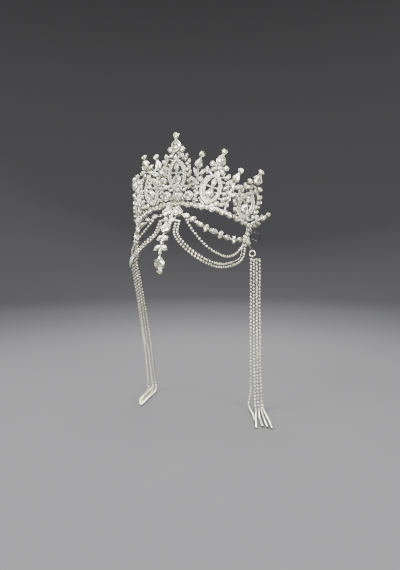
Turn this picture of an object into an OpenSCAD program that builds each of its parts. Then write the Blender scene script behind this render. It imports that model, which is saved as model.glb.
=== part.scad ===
// Bridal crown with a brow ornament, draped cup chains and two side tassels.
// Units are millimetres, +Z is up and the front of the crown faces -Y.
// The origin is the middle of the open band, level with the front of its row of stones.

/* [Band] */
// Half width of the crown at its sides
half_width = 76; // [75:0.5:77]
// Depth from the front of the band to the line between its sides
half_depth = 81; // [80:0.5:82]
// Fall of the band towards the sides
side_drop = 48; // [47:0.5:49]
// Easing of that fall
side_ease = 11; // [10:0.5:12]

/* [Openwork] */
// Thickness of the openwork plates
plate_t = 1.4; // [1.2:0.1:1.5]
// Rim of metal round each stone
rim = 0.55; // [0.5:0.05:0.6]
// Width of the thin bars between settings
bar_w = 1.2; // [1:0.1:1.4]
// Clear gap between a stone and its seat
seat_gap = 0.15; // [0.1:0.05:0.2]

/* [Brow ornament] */
// Lean of the upper plate from upright, in degrees
brow_lean = 46; // [44:1:48]
// Diameter of the small hanging rings
ring_d = 2.2; // [2.1:0.05:2.3]
// Diameter of the wire that they are made of
ring_wire = 0.6; // [0.5:0.05:0.65]

/* [Chains] */
// Diameter of a strand of cup chain in the drapes
drape_d = 2.8; // [2.6:0.1:2.9]
// Diameter of a strand of cup chain in the tassels
strand_d = 2.7; // [2.5:0.1:2.8]

/* [Hidden] */

SILVER = "silver";
CRYSTAL = "whitesmoke";
RIGHT = 1;
LEFT = -1;

// Kinds of stone. A stone is [kind, x, y, length, width, turn] in the plane of its panel
ROUND = 0;
PEAR = 1;
LEAF = 2;

// Panels from the centre to the end, mirrored on the left. Columns: angle along the band,
// lean along it, lean outwards, start and end of its stretch of band, stones in that stretch,
// height to the middle of the finial's round
CENTRE = 0;
INNER = 1;
LARGE = 2;
OUTER = 3;
SIDE = 4;
END = 5;
PANELS = [
    [0, 0, 2.8, -8.4, 8.4, 4, 68.7],
    [12.4, 2.9, 0.2, -8.5, 6.7, 3, 51.8],
    [22, 6.5, -3.3, -6.7, 10.4, 3, 60.2],
    [36.5, 5.7, -1.6, -10.4, 10, 4, 48.3],
    [50, 9, -1.1, -10, 7.6, 4, 60.3],
    [60, 47.3, -4, -7.4, 5, 3, 37.5]];

// Heights of the heart stone above the band in the three pointed panels
centre_heart_y = 25.5;
large_heart_y = 15.5;
side_heart_y = 14;

// Leaf stones down the side of a pointed panel, measured from its heart stone.
// Columns: x, y, length, width, turn
LEAF_COLUMN = [
    [10.6, 21, 6.6, 3.2, 72],
    [13, 15.8, 6.6, 3.2, 62],
    [12.6, 10, 6.6, 3.2, 55],
    [13.8, 4.6, 6.8, 3.2, 55],
    [14.2, -1.6, 6.8, 3.2, 52],
    [13.4, -7.8, 6.4, 3, 42]];

// Pointed arch round the heart and the kite stone, measured from the heart stone
arch_y = 4;
arch_h = 34;
arch_w = 21.2;
arch_hole_h = 26.4;
arch_hole_w = 12.8;
cusp_y = 6;
// Shift of the second skirt of metal towards the centre on the large arch
arch_skirt = 2.6;

// Geometry of points and directions

function unit(v) = v / norm(v);

function fall(t) = side_drop * (1 - cos(t)) - side_ease * pow(1 - cos(t), 2);

function band_point(t) = [half_width * sin(t), -half_depth * cos(t), -fall(t)];

function band_along(t) = unit([
    half_width * cos(t),
    half_depth * sin(t),
    -(side_drop - 2 * side_ease * (1 - cos(t))) * sin(t)]);

function band_up(t) = let (a = band_along(t)) unit([0, 0, 1] - a.z * a);

function panel_up(panel) =
    let (t = panel[0], out = panel[2])
    band_up(t) * cos(out) + cross(band_along(t), band_up(t)) * sin(out);

// Places its children with their x along ax, their z along az and their origin at p
module at_frame(p, ax, az) {
    ay = cross(az, ax);
    multmatrix([
        [ax.x, ay.x, az.x, p.x],
        [ax.y, ay.y, az.y, p.y],
        [ax.z, ay.z, az.z, p.z]]) children();
}

module on_panel(panel) {
    ax = band_along(panel[0]);
    at_frame(band_point(panel[0]), ax, cross(ax, panel_up(panel))) children();
}

module on_side(side) {
    if (side == LEFT) mirror([1, 0, 0]) children();
    else children();
}

// A straight round rod between two points
module rod(p, q, d) {
    v = q - p;
    r = norm(v);
    translate(p)
        rotate([0, acos(v.z / r), atan2(v.y, v.x)])
            cylinder(h = r, d = d, $fn = 24);
}

// A round ring of wire, its axis along the local z
module wire_ring(d, wire) {
    rotate_extrude($fn = 32)
        translate([d / 2, 0]) circle(d = wire, $fn = 16);
}

// Stone outlines, counterclockwise

function round_outline(d, n) = [for (i = [0:n - 1]) d / 2 * [cos(360 * (i + 0.5) / n), sin(360 * (i + 0.5) / n)]];

// A pointed oval between two arcs, m segments a side, long axis along x
function leaf_outline(l, w, m) =
    let (r = (l * l + w * w) / (4 * w), rise = r - w / 2)
    concat(
        [for (i = [0:m - 1]) let (x = l / 2 * cos(180 * i / m)) [x, sqrt(r * r - x * x) - rise]],
        [for (i = [0:m - 1]) let (x = -l / 2 * cos(180 * i / m)) [x, rise - sqrt(r * r - x * x)]]);

// A round end with a tip on +y, m segments on the round
function pear_outline(l, w, m) =
    let (c = w / 2 - l / 2, grip = acos(w / 2 / (l / 2 - c)))
    concat(
        [[0, l / 2]],
        [for (i = [0:m])
            let (a = 90 + grip + i * (360 - 2 * grip) / m)
            [w / 2 * cos(a), c + w / 2 * sin(a)]]);

function outline(kind, l, w, fine) =
    kind == ROUND ? round_outline(w, fine ? 24 : (w > 7 ? 12 : 8))
    : kind == PEAR ? pear_outline(l, w, fine ? 14 : (w > 7 ? 9 : 7))
    : leaf_outline(l, w, fine ? 7 : 4);

// A cut stone with a flat back, a straight girdle, sloping facets and a flat table
module cut_stone(points, depth) {
    n = len(points);
    girdle = 0.3 * depth;
    table = 0.58;
    polyhedron(
        points = concat(
            [for (p = points) [p.x, p.y, 0]],
            [for (p = points) [p.x, p.y, girdle]],
            [for (p = points) [table * p.x, table * p.y, depth]]),
        faces = concat(
            [[for (i = [0:n - 1]) i]],
            [for (k = [0, n]) for (i = [0:n - 1])
                let (j = (i + 1) % n) [k + i, k + n + i, k + n + j, k + j]],
            [[for (i = [n - 1:-1:0]) 2 * n + i]]));
}

function stone_depth(w) = 0.7 + 0.24 * w;

// Cut stones on the front of a plate whose middle is z = 0
module stones(list, thick = plate_t) {
    for (s = list)
        translate([s[1], s[2], thick / 2 + seat_gap])
            rotate([0, 0, s[5]])
                cut_stone(outline(s[0], s[3], s[4], false), stone_depth(s[4]));
}

// The outlines of the settings that carry those stones
module settings(list) {
    offset(delta = rim)
        for (s = list)
            translate([s[1], s[2]]) rotate(s[5]) polygon(outline(s[0], s[3], s[4], true));
}

module bar(p, q, w = bar_w) {
    v = q - p;
    translate(p) rotate(atan2(v.y, v.x)) translate([0, -w / 2]) square([norm(v), w]);
}

// Stones of each panel, measured along its own axis from the band

function moved(list, dy) = [for (s = list) [s[0], s[1], s[2] + dy, s[3], s[4], s[5]]];

function turned(list, a) = [for (s = list)
    [s[0], s[1] * cos(a) - s[2] * sin(a), s[1] * sin(a) + s[2] * cos(a), s[3], s[4], s[5] + a]];

function both(list) = concat(list, [for (s = list) [s[0], -s[1], s[2], s[3], s[4], -s[5]]]);

function column(side, wide, rows) = [for (i = rows)
    let (r = LEAF_COLUMN[i])
    [LEAF, side * wide * r[0], r[1], r[2], r[3], side * r[4]]];

function heart() = [[PEAR, 0, 0, 10.4, 7.4, 0]];
function kite() = [[LEAF, 0, 11, 8.4, 4.2, 90]];
function collar() = both([[LEAF, 4.8, 23.9, 7.4, 3.3, -42]]);
function shoulders(x) = both([[ROUND, x, 29.2, 4.4, 4.4, 0]]);
function finial_pear(h) = [[PEAR, 0, h - 9.1, 11.8, 9, 0]];
function spike_pear(h) = [[PEAR, -1.3, h - 8.6, 10.2, 6.6, -9]];

function round_diameter(i) = i == CENTRE ? 4.9 : i == END ? 4 : 4.6;

// The round on the tip of each panel
function tip_round(i) = let (d = round_diameter(i)) [[ROUND, 0, PANELS[i][6], d, d, 0]];

// The large stones of each panel: its pear first, then its heart and kite
function main_stones(i) =
    let (h = PANELS[i][6])
    i == CENTRE ? concat(finial_pear(h), moved(heart(), centre_heart_y), moved(kite(), centre_heart_y))
    : i == LARGE ? concat(finial_pear(h), moved(heart(), large_heart_y))
    : i == SIDE ? concat(finial_pear(h), moved(heart(), side_heart_y))
    : i == END ? [[PEAR, 0.6, h - 9, 10, 5.4, -4]]
    : spike_pear(h);

// Pairs of leaves on the stem of a spike
function spike_leaves(h) = concat(
    both([[LEAF, 3.7, h - 17.4, 6.4, 2.9, 58]]),
    [[LEAF, -1.1, h - 21.4, 6, 2.6, 90]],
    [[LEAF, -3.7, h - 27.2, 6, 2.8, -58]]);

function leaves(i) =
    let (h = PANELS[i][6])
    i == CENTRE ? concat(
        moved(concat(collar(), column(RIGHT, 1, [0:5]), column(LEFT, 1, [0:5])), centre_heart_y),
        both([[LEAF, 1.9, 7.6, 7, 2.6, 104], [LEAF, 5.1, 7, 7.4, 2.6, 122]]))
    : i == LARGE ? moved(concat(kite(), collar(), column(RIGHT, 1.12, [0:5]), column(LEFT, 1, [0])), large_heart_y)
    : i == SIDE ? moved(concat(kite(), collar(), column(RIGHT, 1.08, [0:4]), column(LEFT, 1, [0:4])), side_heart_y)
    : i == END ? concat(
        both([[LEAF, 3.3, h - 21, 6.4, 2.9, 56]]), [[LEAF, 3.5, h - 29, 6.2, 2.9, 50]])
    : i == OUTER ? concat(spike_leaves(h), [[LEAF, 2.4, h - 27.2, 6, 2.8, 58]])
    : concat(spike_leaves(h), [[LEAF, 2.9, h - 24.4, 6, 2.8, 84]]);

function rounds(i) =
    i == CENTRE ? concat(
        moved(shoulders(6.5), centre_heart_y),
        both([[ROUND, 12.4, 7.8, 8.4, 8.4, 0]]),
        [[ROUND, 0, 14.6, 4.2, 4.2, 0]])
    : i == LARGE ? concat(moved(shoulders(7.4), large_heart_y), [[ROUND, 9.3, 6.6, 4.4, 4.4, 0]])
    : i == SIDE ? concat(moved(shoulders(7.8), side_heart_y), both([[ROUND, 9.3, 6.4, 4.2, 4.2, 0]]))
    : i == OUTER ? [[ROUND, -0.6, 14.6, 3.4, 3.4, 0], [ROUND, -0.3, 8.4, 3.8, 3.8, 0]]
    : i == INNER ? [for (k = [0:4]) [ROUND, 0.3 - 0.1 * k, 5.6 + 4.2 * k, 3, 3, 0]]
    : [];

// Spread of the rounds of a stretch of band, to keep them clear of the next stretch
row_spread = 0.94;

// The row of rounds along a panel's stretch of band. Away from the centre, large ones that
// hang a little lower stand between small ones
function row_stones(i) =
    let (
        panel = PANELS[i],
        pitch = (panel[4] - panel[3]) / panel[5],
        middle = (panel[4] + panel[3]) / 2,
        spread = i == CENTRE ? 1 : row_spread,
        large = min(4.7, 2 * pitch - 4),
        small = min(3.6, 2 * pitch - 1.4 - large))
    [for (k = [0:panel[5] - 1])
        let (
            is_large = i != CENTRE && (k % 2 == 0) == (i == INNER || i == LARGE),
            d = i == CENTRE ? pitch - 0.7 : is_large ? large : small)
        [ROUND, middle + (k + 0.5 - panel[5] / 2) * pitch * spread, is_large ? -0.8 : 0, d, d, 0]];

// Stones of the junction plate that hangs under the end of the band
function junction_stones() = [
    [ROUND, 0.4, -5.6, 2.8, 2.8, 0],
    [ROUND, 1, -10, 4, 4, 0],
    [LEAF, -1.5, -17, 9.2, 4, 81],
    [LEAF, 3.5, -17, 9.2, 4, 99],
    [ROUND, 1, -23.4, 3.2, 3.2, 0]];

function on_axis(i, list) = turned(list, -PANELS[i][1]);

function all_stones(i) = concat(
    on_axis(i, concat(tip_round(i), main_stones(i), leaves(i), rounds(i))),
    row_stones(i),
    i == END ? junction_stones() : []);

// Outlines of the metal

module leaf_shape(l, w) {
    rotate(90) polygon(leaf_outline(l, w, 12));
}

// The pointed arch with its struts, measured from the heart stone
module arch(right_rows, left_rows, wide) {
    difference() {
        translate([0, arch_y]) leaf_shape(arch_h, arch_w);
        translate([0, arch_y]) leaf_shape(arch_hole_h, arch_hole_w);
    }
    bar([-6.6, cusp_y], [6.6, cusp_y]);
    bar([0, 13], [0, 36]);
    bar([0, -12], [0, -4]);
    translate([0, -9]) circle(d = 7, $fn = 20);
    for (i = right_rows) let (r = LEAF_COLUMN[i]) bar([4, r[1] - 3], [wide * r[0], r[1]]);
    for (i = left_rows) let (r = LEAF_COLUMN[i]) bar([-4, r[1] - 3], [-r[0], r[1]]);
    translate([0, 20.6]) circle(d = 6, $fn = 20);
    for (s = [RIGHT, LEFT]) bar([0, 27.4], [7 * s, 29.2], 2);
}

module spike_stem(h) {
    bar([0, 0], [-1.2, h - 24], 1.6);
    bar([-1.2, h - 25], [-1.3, h - 8], 1.6);
    bar([-1.3, h - 8], [0, h], 1.8);
    for (y = [h - 17.4, h - 27.2]) bar([-1.2, y - 3.4], [-4, y]);
    bar([-1.2, h - 20.8], [3.7, h - 17.4]);
}

// The scroll and the ties that fill the space beside the inner spike
module inner_web() {
    difference() {
        union() {
            bar([0.4, 0], [0, 26], 2.4);
            translate([-3.5, 18.4]) circle(d = 5.8, $fn = 24);
            bar([-3.4, 20], [-4.2, 24.6], 2);
            for (y = [5.2, 12.4, 19.2]) bar([0, y], [4, y + 0.2], 2);
        }
        translate([-3.5, 18.4]) circle(d = 2.2, $fn = 16);
    }
}

// The scroll rings and the fan under the centre arch
module centre_foot() {
    difference() {
        union() {
            for (s = [RIGHT, LEFT]) translate([7 * s, 15.8]) circle(d = 7.2, $fn = 24);
            polygon([[-3, 15], [3, 15], [8.4, 1], [-8.4, 1]]);
            for (s = [RIGHT, LEFT]) bar([6 * s, 4.4], [13 * s, 5], 2);
        }
        for (s = [RIGHT, LEFT]) translate([7 * s, 15.8]) circle(d = 2.4, $fn = 16);
        translate([0, 6.4]) circle(d = 1.4, $fn = 12);
    }
}

module motif(i) {
    h = PANELS[i][6];
    if (i == CENTRE) {
        translate([0, centre_heart_y]) arch([0:5], [0:5], 1);
        centre_foot();
    }
    if (i == LARGE) {
        translate([0, large_heart_y]) arch([0:5], [0], 1.12);
        difference() {
            translate([-arch_skirt, large_heart_y + arch_y]) leaf_shape(30, 20);
            translate([0, large_heart_y + arch_y]) leaf_shape(arch_hole_h, arch_hole_w);
        }
        for (s = [RIGHT, LEFT]) bar([3 * s, 1], [9.3 * s, 6.4], 2.2);
        bar([9.3, 6.4], [15.5, 8], 2);
    }
    if (i == SIDE) {
        translate([0, side_heart_y]) arch([0:4], [0:4], 1.08);
        for (s = [RIGHT, LEFT]) bar([3 * s, 1], [9.3 * s, 6.4], 2.2);
        bar([9.3, 6.4], [15, 9], 2);
    }
    if (i == CENTRE || i == LARGE || i == SIDE) bar([0, h - 12], [0, h], 2.2);
    if (i == INNER || i == OUTER) spike_stem(h);
    if (i == INNER) inner_web();
    if (i == OUTER) bar([-1, h - 30.6], [2.4, h - 27.2]);
    if (i == END) {
        bar([0, -1], [0.4, h], 1.8);
        for (p = [[3.3, h - 21], [-3.3, h - 21], [3.5, h - 29]]) bar([0.2, p.y - 4], p);
    }
}

// The bars and eyes of the junction plate
module junction_shape() {
    difference() {
        union() {
            bar([0, 0], [1, -22.5], 2.4);
            translate([1, -17]) circle(d = 5, $fn = 20);
            bar([1, -17], [7.4, -17], 2);
            translate([7.4, -17]) circle(d = 3.4, $fn = 20);
            bar([1, -17], [-4.4, -16], 2);
            bar([2, -2], [8, -4.4], 2);
            translate([8, -4.4]) circle(d = 3.8, $fn = 20);
        }
        translate([7.4, -17]) circle(d = 1.8, $fn = 16);
        translate([8, -4.4]) circle(d = 2.2, $fn = 16);
    }
}

module panel_plate(i) {
    panel = PANELS[i];
    linear_extrude(height = plate_t, center = true)
        offset(delta = 0.01) {
            settings(all_stones(i));
            translate([panel[3], -1.4]) square([panel[4] - panel[3], 3]);
            rotate(-panel[1]) motif(i);
            if (i == END) junction_shape();
        }
}

module crown_frame() {
    color(SILVER) {
        on_panel(PANELS[CENTRE]) panel_plate(CENTRE);
        for (side = [RIGHT, LEFT])
            on_side(side)
                for (i = [INNER:END]) on_panel(PANELS[i]) panel_plate(i);
    }
}

// Stones of one panel, on one side
module panel_stones(i, side, list) {
    color(CRYSTAL) on_side(side) on_panel(PANELS[i]) stones(list);
}

module main_stone(i, side, k) {
    panel_stones(i, side, on_axis(i, [main_stones(i)[k]]));
}

module finial_rounds(side) {
    for (i = [INNER:END]) panel_stones(i, side, on_axis(i, tip_round(i)));
}

module leaf_field(side) {
    for (i = [INNER:END]) panel_stones(i, side, on_axis(i, leaves(i)));
}

module round_field(side) {
    for (i = [INNER:SIDE]) panel_stones(i, side, on_axis(i, rounds(i)));
}

module base_row(side) {
    half = [for (s = row_stones(CENTRE)) if (s[1] > 0) s];
    panel_stones(CENTRE, side, half);
    for (i = [INNER:END]) panel_stones(i, side, row_stones(i));
}

// Brow ornament. Its plates stand on X = 0 and lean back towards the band.
// Columns: y and z of the middle, lean from upright, size against a middling one
BROW_PLATE = [-103.5, -19.6, brow_lean, 1];
TREFOIL_UPPER = [-119.6, -37.15, 28, 0.92];
TREFOIL_LOWER = [-124.3, -46.65, 24, 1.1];
brow_plate_t = 1.2;
link_t = 1;
loop_y = 4;
foot_loop_y = -5.3;

module on_brow(place) {
    translate([0, place[0], place[1]]) rotate([90 - place[2], 0, 0]) children();
}

// The y and z of a point that lies dy along a leaning plate from its middle
function brow_spot(place, dy) = [0, place[0] + dy * sin(place[2]), place[1] + dy * cos(place[2])];

function brow_pears() = both([[PEAR, 5.5, 15.4, 14.4, 9.2, 10]]);
function brow_oval() = [[ROUND, 0, 0, 8.4, 8.4, 0]];
oval_y = -11.6;
oval_stretch = 1.36;
function cluster() = concat(
    both([[LEAF, 3.4, 1.2, 7.6, 3.6, 58]]),
    [[ROUND, 0, 5.6, 3, 3, 0]],
    both([[ROUND, 2, -4.1, 2.6, 2.6, 0]]));
lug = [10.4, -0.6];

function oval_points(fine) = [for (p = round_outline(8.4, fine ? 28 : 12)) [p.x, p.y * oval_stretch]];

module brow_shape() {
    settings(concat(brow_pears(), cluster()));
    translate([0, oval_y]) offset(delta = rim) polygon(oval_points(true));
    bar([0, -12], [0, 16], 2.6);
    bar([-9, 15.4], [9, 15.4], 2);
    bar([-4, 20.6], [4, 20.6], 2);
    for (s = [RIGHT, LEFT]) {
        bar([0, 3], [lug.x * s, lug.y], 1.8);
        translate([lug.x * s, lug.y]) circle(d = 2.6, $fn = 16);
        bar([8 * s, 13], [12.6 * s, 8.6], 1.8);
        translate([12.6 * s, 8.6]) circle(d = 2.6, $fn = 16);
    }
}

// A ring whose middle lies dy along the plate; across = true turns it edge on
module brow_ring(place, dy, across) {
    on_brow(place) translate([0, dy, 0]) rotate([0, across ? 90 : 0, 0]) wire_ring(ring_d, ring_wire);
}

plate_foot = oval_y - 4.2 * oval_stretch - rim;

module brow_plate() {
    color(SILVER) {
        on_brow(BROW_PLATE) linear_extrude(height = brow_plate_t, center = true)
            offset(delta = 0.01) brow_shape();
        brow_ring(BROW_PLATE, plate_foot - 0.8, false);
        for (s = [RIGHT, LEFT]) rod([2.1 * s, -88.8, -5.3], [2.1 * s, -81.6, -3.3], 1.3);
    }
}

function trefoil(k) = concat(
    both([[LEAF, 3.05 * k, 0.3 * k, 6.8 * k, 3.4 * k, -32]]),
    [[ROUND, 0, -3.1, 2.6, 2.6, 0]]);

module trefoil_shape(k) {
    settings(trefoil(k));
    bar([0, -3], [0, 3.2], 1.6);
}

module trefoil_link(place) {
    color(SILVER) {
        on_brow(place) linear_extrude(height = link_t, center = true) offset(delta = 0.01) trefoil_shape(place[3]);
        brow_ring(place, loop_y, true);
        brow_ring(place, foot_loop_y, false);
    }
}

// The drop hangs upright on the lowest ring of the lower trefoil
hinge = brow_spot(TREFOIL_LOWER, foot_loop_y - ring_d / 2);
drop_ring_z = hinge.z - 0.3;
drop_stone_z = hinge.z - 7.7;
drop_round_z = hinge.z - 16;
function drop_gems() = [
    [PEAR, 0, drop_stone_z, 11.6, 9.2, 0],
    [ROUND, 0, drop_round_z, 4.4, 4.4, 0]];

module on_drop() {
    translate([0, hinge.y, 0]) rotate([90, 0, 0]) children();
}

module drop_setting() {
    color(SILVER) {
        on_drop() linear_extrude(height = link_t, center = true) offset(delta = 0.01) {
            settings(drop_gems());
            bar([0, drop_round_z], [0, hinge.z - 1.5], 1.4);
        }
        translate([0, hinge.y, drop_ring_z]) rotate([0, 90, 0]) wire_ring(ring_d, ring_wire);
    }
}

// Directions square to the brow on which the strings and drapes lie
brow_half_width = 73;
brow_reach = 129;
brow_slope = 48;
brow_z = -62;

function brow_normal(p) =
    let (
        f = brow_reach - brow_slope * pow((p.z - brow_z) / brow_z, 2),
        s = -2 * brow_slope * (p.z - brow_z) / (brow_z * brow_z))
    unit([p.x / pow(brow_half_width, 2), p.y / pow(f, 2), -s * pow(p.y, 2) / pow(f, 3)]);

// Settings of the brow string from the ornament to the junction.
// Columns: x, y, z of the middle, kind, length, width, turn
STRING = [
    [17, -100.2, -14.9, ROUND, 5, 5, 0],
    [24, -102.2, -18.3, LEAF, 7.8, 4, 72],
    [31, -101.6, -23.2, LEAF, 8.6, 4.2, 0],
    [36.6, -97.5, -26.8, LEAF, 8.2, 4.2, 72],
    [41.8, -90.4, -29.7, LEAF, 8.6, 4.2, 0],
    [46.6, -82.6, -33, LEAF, 8.2, 4.2, 72],
    [51.4, -73.8, -35.6, LEAF, 8.6, 4.2, 0],
    [56, -65.4, -37.6, LEAF, 8, 4.2, 72],
    [60.2, -57.4, -37.4, PEAR, 6, 4, 90]];

function string_point(i) = [STRING[i][0], STRING[i][1], STRING[i][2]];

function string_back(i) = string_point(i) - 0.8 * brow_normal(string_point(i));

module on_string(i) {
    last = len(STRING) - 1;
    n = brow_normal(string_point(i));
    v = string_point(min(i + 1, last)) - string_point(max(i - 1, 0));
    at_frame(string_point(i), unit(v - (v * n) * n), n) children();
}

module brow_string(side) {
    last = len(STRING) - 1;
    color(SILVER) on_side(side) {
        for (i = [0:last])
            on_string(i) linear_extrude(height = link_t, center = true)
                offset(delta = rim)
                    rotate(STRING[i][6]) polygon(outline(STRING[i][3], STRING[i][4], STRING[i][5], true));
        tube(concat(
            [[14.2, -97.8, -13.9]],
            [for (i = [0:last]) string_back(i)],
            [[61.9, -50.9, -36.2]]), 0.9, [0, 0, 1]);
    }
}

module brow_stones(side) {
    color(CRYSTAL) on_side(side)
        for (i = [0:len(STRING) - 1])
            on_string(i) stones([[STRING[i][3], 0, 0, STRING[i][4], STRING[i][5], STRING[i][6]]], link_t);
}

// Chains as swept tubes along smooth routes

// A point of a smooth curve through the route, between points i and i + 1
function smooth_point(route, i, u) =
    let (
        last = len(route) - 1,
        a = route[max(i - 1, 0)],
        b = route[i],
        c = route[min(i + 1, last)],
        d = route[min(i + 2, last)])
    0.5 * (2 * b + u * (c - a) + u * u * (2 * a - 5 * b + 4 * c - d)
        + u * u * u * (3 * b - a - 3 * c + d));

function smooth_route(route, steps) = concat(
    [for (i = [0:len(route) - 2]) for (k = [0:steps - 1]) smooth_point(route, i, k / steps)],
    [route[len(route) - 1]]);

tube_sides = 8;

module tube(path, d, across) {
    last = len(path) - 1;
    rings = [for (i = [0:last])
        let (
            along = unit(path[min(i + 1, last)] - path[max(i - 1, 0)]),
            x = unit(cross(along, across)),
            y = cross(along, x))
        [for (k = [0:tube_sides - 1])
            path[i] + d / 2 * (cos(360 * k / tube_sides) * x + sin(360 * k / tube_sides) * y)]];
    polyhedron(
        points = [for (ring = rings) for (p = ring) p],
        faces = concat(
            [[for (k = [0:tube_sides - 1]) k]],
            [for (i = [0:last - 1]) for (k = [0:tube_sides - 1])
                let (j = (k + 1) % tube_sides, a = i * tube_sides, b = a + tube_sides)
                [a + k, b + k, b + j, a + j]],
            [[for (k = [tube_sides - 1:-1:0]) last * tube_sides + k]]));
}

// Routes of the drapes. Columns: x, y, z
UPPER_DRAPE = [
    [17.7, -102.6, -17.6],
    [20.2, -104.6, -22],
    [25, -106, -28.6],
    [33.2, -107.2, -38],
    [40.4, -102.8, -46],
    [46.8, -91.8, -52],
    [52.9, -79, -55],
    [58.1, -67.4, -52.4],
    [61.8, -59, -46.6],
    [62.7, -51.2, -41.9]];
LOWER_DRAPE = [
    [9.4, -104.7, -21.5],
    [9.4, -109.6, -28],
    [11.6, -114, -34],
    [18.8, -118, -41.6],
    [28.4, -117.6, -50.2],
    [36.9, -112, -57],
    [43.9, -101.8, -61.8],
    [50.4, -88.8, -63.9],
    [57.2, -75.4, -62.4],
    [62.2, -64.2, -58.4]];
// The lower strand goes on to the junction, the middle one ends in a bare wire
LOWER_DRAPE_END = [[64.6, -56, -53.4], [63.7, -50, -45.3]];
MIDDLE_WIRE_END = [62.3, -50.6, -43.6];
drape_pitch = 3.05;

// The route moved sideways within the brow surface
function beside(route, gap) =
    let (last = len(route) - 1)
    [for (i = [0:last])
        let (v = route[min(i + 1, last)] - route[max(i - 1, 0)])
        route[i] + gap * unit(cross(brow_normal(route[i]), v))];

module drape(side, route) {
    color(CRYSTAL) on_side(side) tube(smooth_route(route, 2), drape_d, [0, 0, 1]);
}

function lower_route() = concat(beside(LOWER_DRAPE, -drape_pitch / 2), LOWER_DRAPE_END);

module middle_drape(side) {
    route = beside(LOWER_DRAPE, drape_pitch / 2);
    last = len(route) - 1;
    drape(side, [for (i = [0:last - 1]) route[i]]);
    color(SILVER) on_side(side)
        tube([0.3 * route[last - 2] + 0.7 * route[last - 1], route[last], MIDDLE_WIRE_END], 0.8, [0, 0, 1]);
}

// Tassels. The strands hang in a flat curtain and their ends lie on a surface
surface_z = -225;
lying_z = surface_z + strand_d / 2 + 0.05;
curtain = [0.9455, 0.3256, 0];
curtain_front = [0.3256, -0.9455, 0];
tassel_top = [72.3, -36, -58];
link_ring = [69.6, -37, -51.6];
link_ring_d = 6.2;
link_wire = 0.9;

// Routes of the strands under the clasp. The last one hangs behind the others
STRANDS_RIGHT = [
    [[67.9, -37.4, -59], [68.4, -37.4, -110], [68.6, -37.4, -160], [68.6, -36.6, -200],
        [66.2, -34, -214], [66.4, -35.6, -221], [70.2, -42, lying_z], [75, -53, lying_z], [80.8, -72, lying_z]],
    [[70.9, -36.5, -59], [71.3, -36.4, -110], [72, -36.2, -160], [73.2, -35.8, -205],
        [74, -36.4, -219], [76, -42, lying_z], [80, -62, lying_z], [86.6, -90, lying_z]],
    [[73.9, -35.4, -59], [74.3, -35.3, -110], [75.1, -35.1, -160], [76.3, -34.8, -205],
        [77, -35.4, -219], [79, -41, lying_z], [84.2, -62, lying_z], [92.4, -86, lying_z]],
    [[76.9, -34.4, -59], [77.4, -34.2, -110], [78.4, -34, -160], [79.8, -33.6, -205],
        [81.4, -34.6, -219], [85.4, -42, lying_z], [93, -62, lying_z], [101.4, -86, lying_z]],
    [[73.3, -32.2, -59], [73.6, -32, -110], [75.2, -31.2, -160], [77.2, -30.4, -205],
        [79, -30.2, -219], [82.2, -41, lying_z], [88.4, -61, lying_z], [97, -86, lying_z]]];
STRANDS_LEFT = [
    [[-67.9, -37.4, -59], [-66.6, -23, -110], [-65.4, -9.5, -160], [-64, -0.8, -205],
        [-61.8, -2, -219], [-59.4, -10, lying_z], [-56.4, -36, lying_z], [-52, -65, lying_z]],
    [[-70.9, -36.5, -59], [-69.5, -23.6, -110], [-68.2, -11.6, -160], [-66.7, -4.4, -205],
        [-64.7, -4.8, -219], [-62.4, -12, lying_z], [-59.5, -36, lying_z], [-55.4, -61, lying_z]],
    [[-73.9, -35.4, -59], [-72.3, -24.6, -110], [-70.8, -14.2, -160], [-69.2, -8, -205],
        [-67.6, -7.8, -219], [-65.4, -14, lying_z], [-62.6, -34, lying_z], [-58.8, -55, lying_z]],
    [[-76.9, -34.4, -59], [-75.2, -22.6, -110], [-73.4, -12, -160], [-71, -5.6, -205],
        [-70.2, -5.6, -219], [-68.5, -14, lying_z], [-65.8, -31, lying_z], [-62.4, -46, lying_z]],
    [[-73.3, -32.2, -59], [-71.5, -20.6, -110], [-70.1, -8.4, -160], [-67.6, -0.8, -205],
        [-66, -0.6, -217], [-64, -11.6, lying_z + 2.6], [-61.1, -33, lying_z + 2.6], [-57.4, -52, lying_z + 2.6]]];

// The clasp of a tassel with its hanging loop, on the right
clasp_ring_d = 3.4;

module clasp() {
    at_frame(tassel_top, curtain, [0, 0, 1]) {
        translate([-6, -1.1, -2.4]) cube([12, 2.2, 3.2]);
        translate([-1, 0, -2.4]) cube([4, 4.6, 2.6]);
    }
    loop = link_ring - [0, 0, link_ring_d / 2 + clasp_ring_d / 2 - 1.1];
    at_frame(loop, curtain_front, curtain) wire_ring(clasp_ring_d, 0.7);
    rod(loop - [0, 0, clasp_ring_d / 2], [link_ring.x, link_ring.y, tassel_top.z], 1);
}

module tassel(side, strands) {
    color(CRYSTAL) {
        on_side(side) clasp();
        for (route = strands) tube(smooth_route(route, 2), strand_d, curtain);
    }
}

// A point in the plane of the end panel, in the crown's own directions
function end_point(x, y) = band_point(PANELS[END][0])
    + x * band_along(PANELS[END][0]) + y * panel_up(PANELS[END]);

// A ring that hangs from an eye of the end panel, its middle along the direction a
module eye_ring(eye, a, d, wire) {
    on_panel(PANELS[END])
        translate([eye.x + d / 2 * cos(a), eye.y + d / 2 * sin(a), 0])
            rotate([0, 0, a + 90]) rotate([0, 90, 0]) wire_ring(d, wire);
}

// The wire that carries the tassel from the lower eye of the junction plate
eye_ring_d = 3;

module tassel_link(side) {
    color(SILVER) on_side(side) {
        at_frame(link_ring, curtain, curtain_front) wire_ring(link_ring_d, link_wire);
        rod(link_ring + [0, 0, link_ring_d / 2], end_point(7.4, -17 - eye_ring_d), 0.8);
        eye_ring([7.4, -17], -90, eye_ring_d, 0.7);
    }
}

// A thin wire loop through the eye beside the end of the band
tie_loop_d = 12.6;

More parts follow.
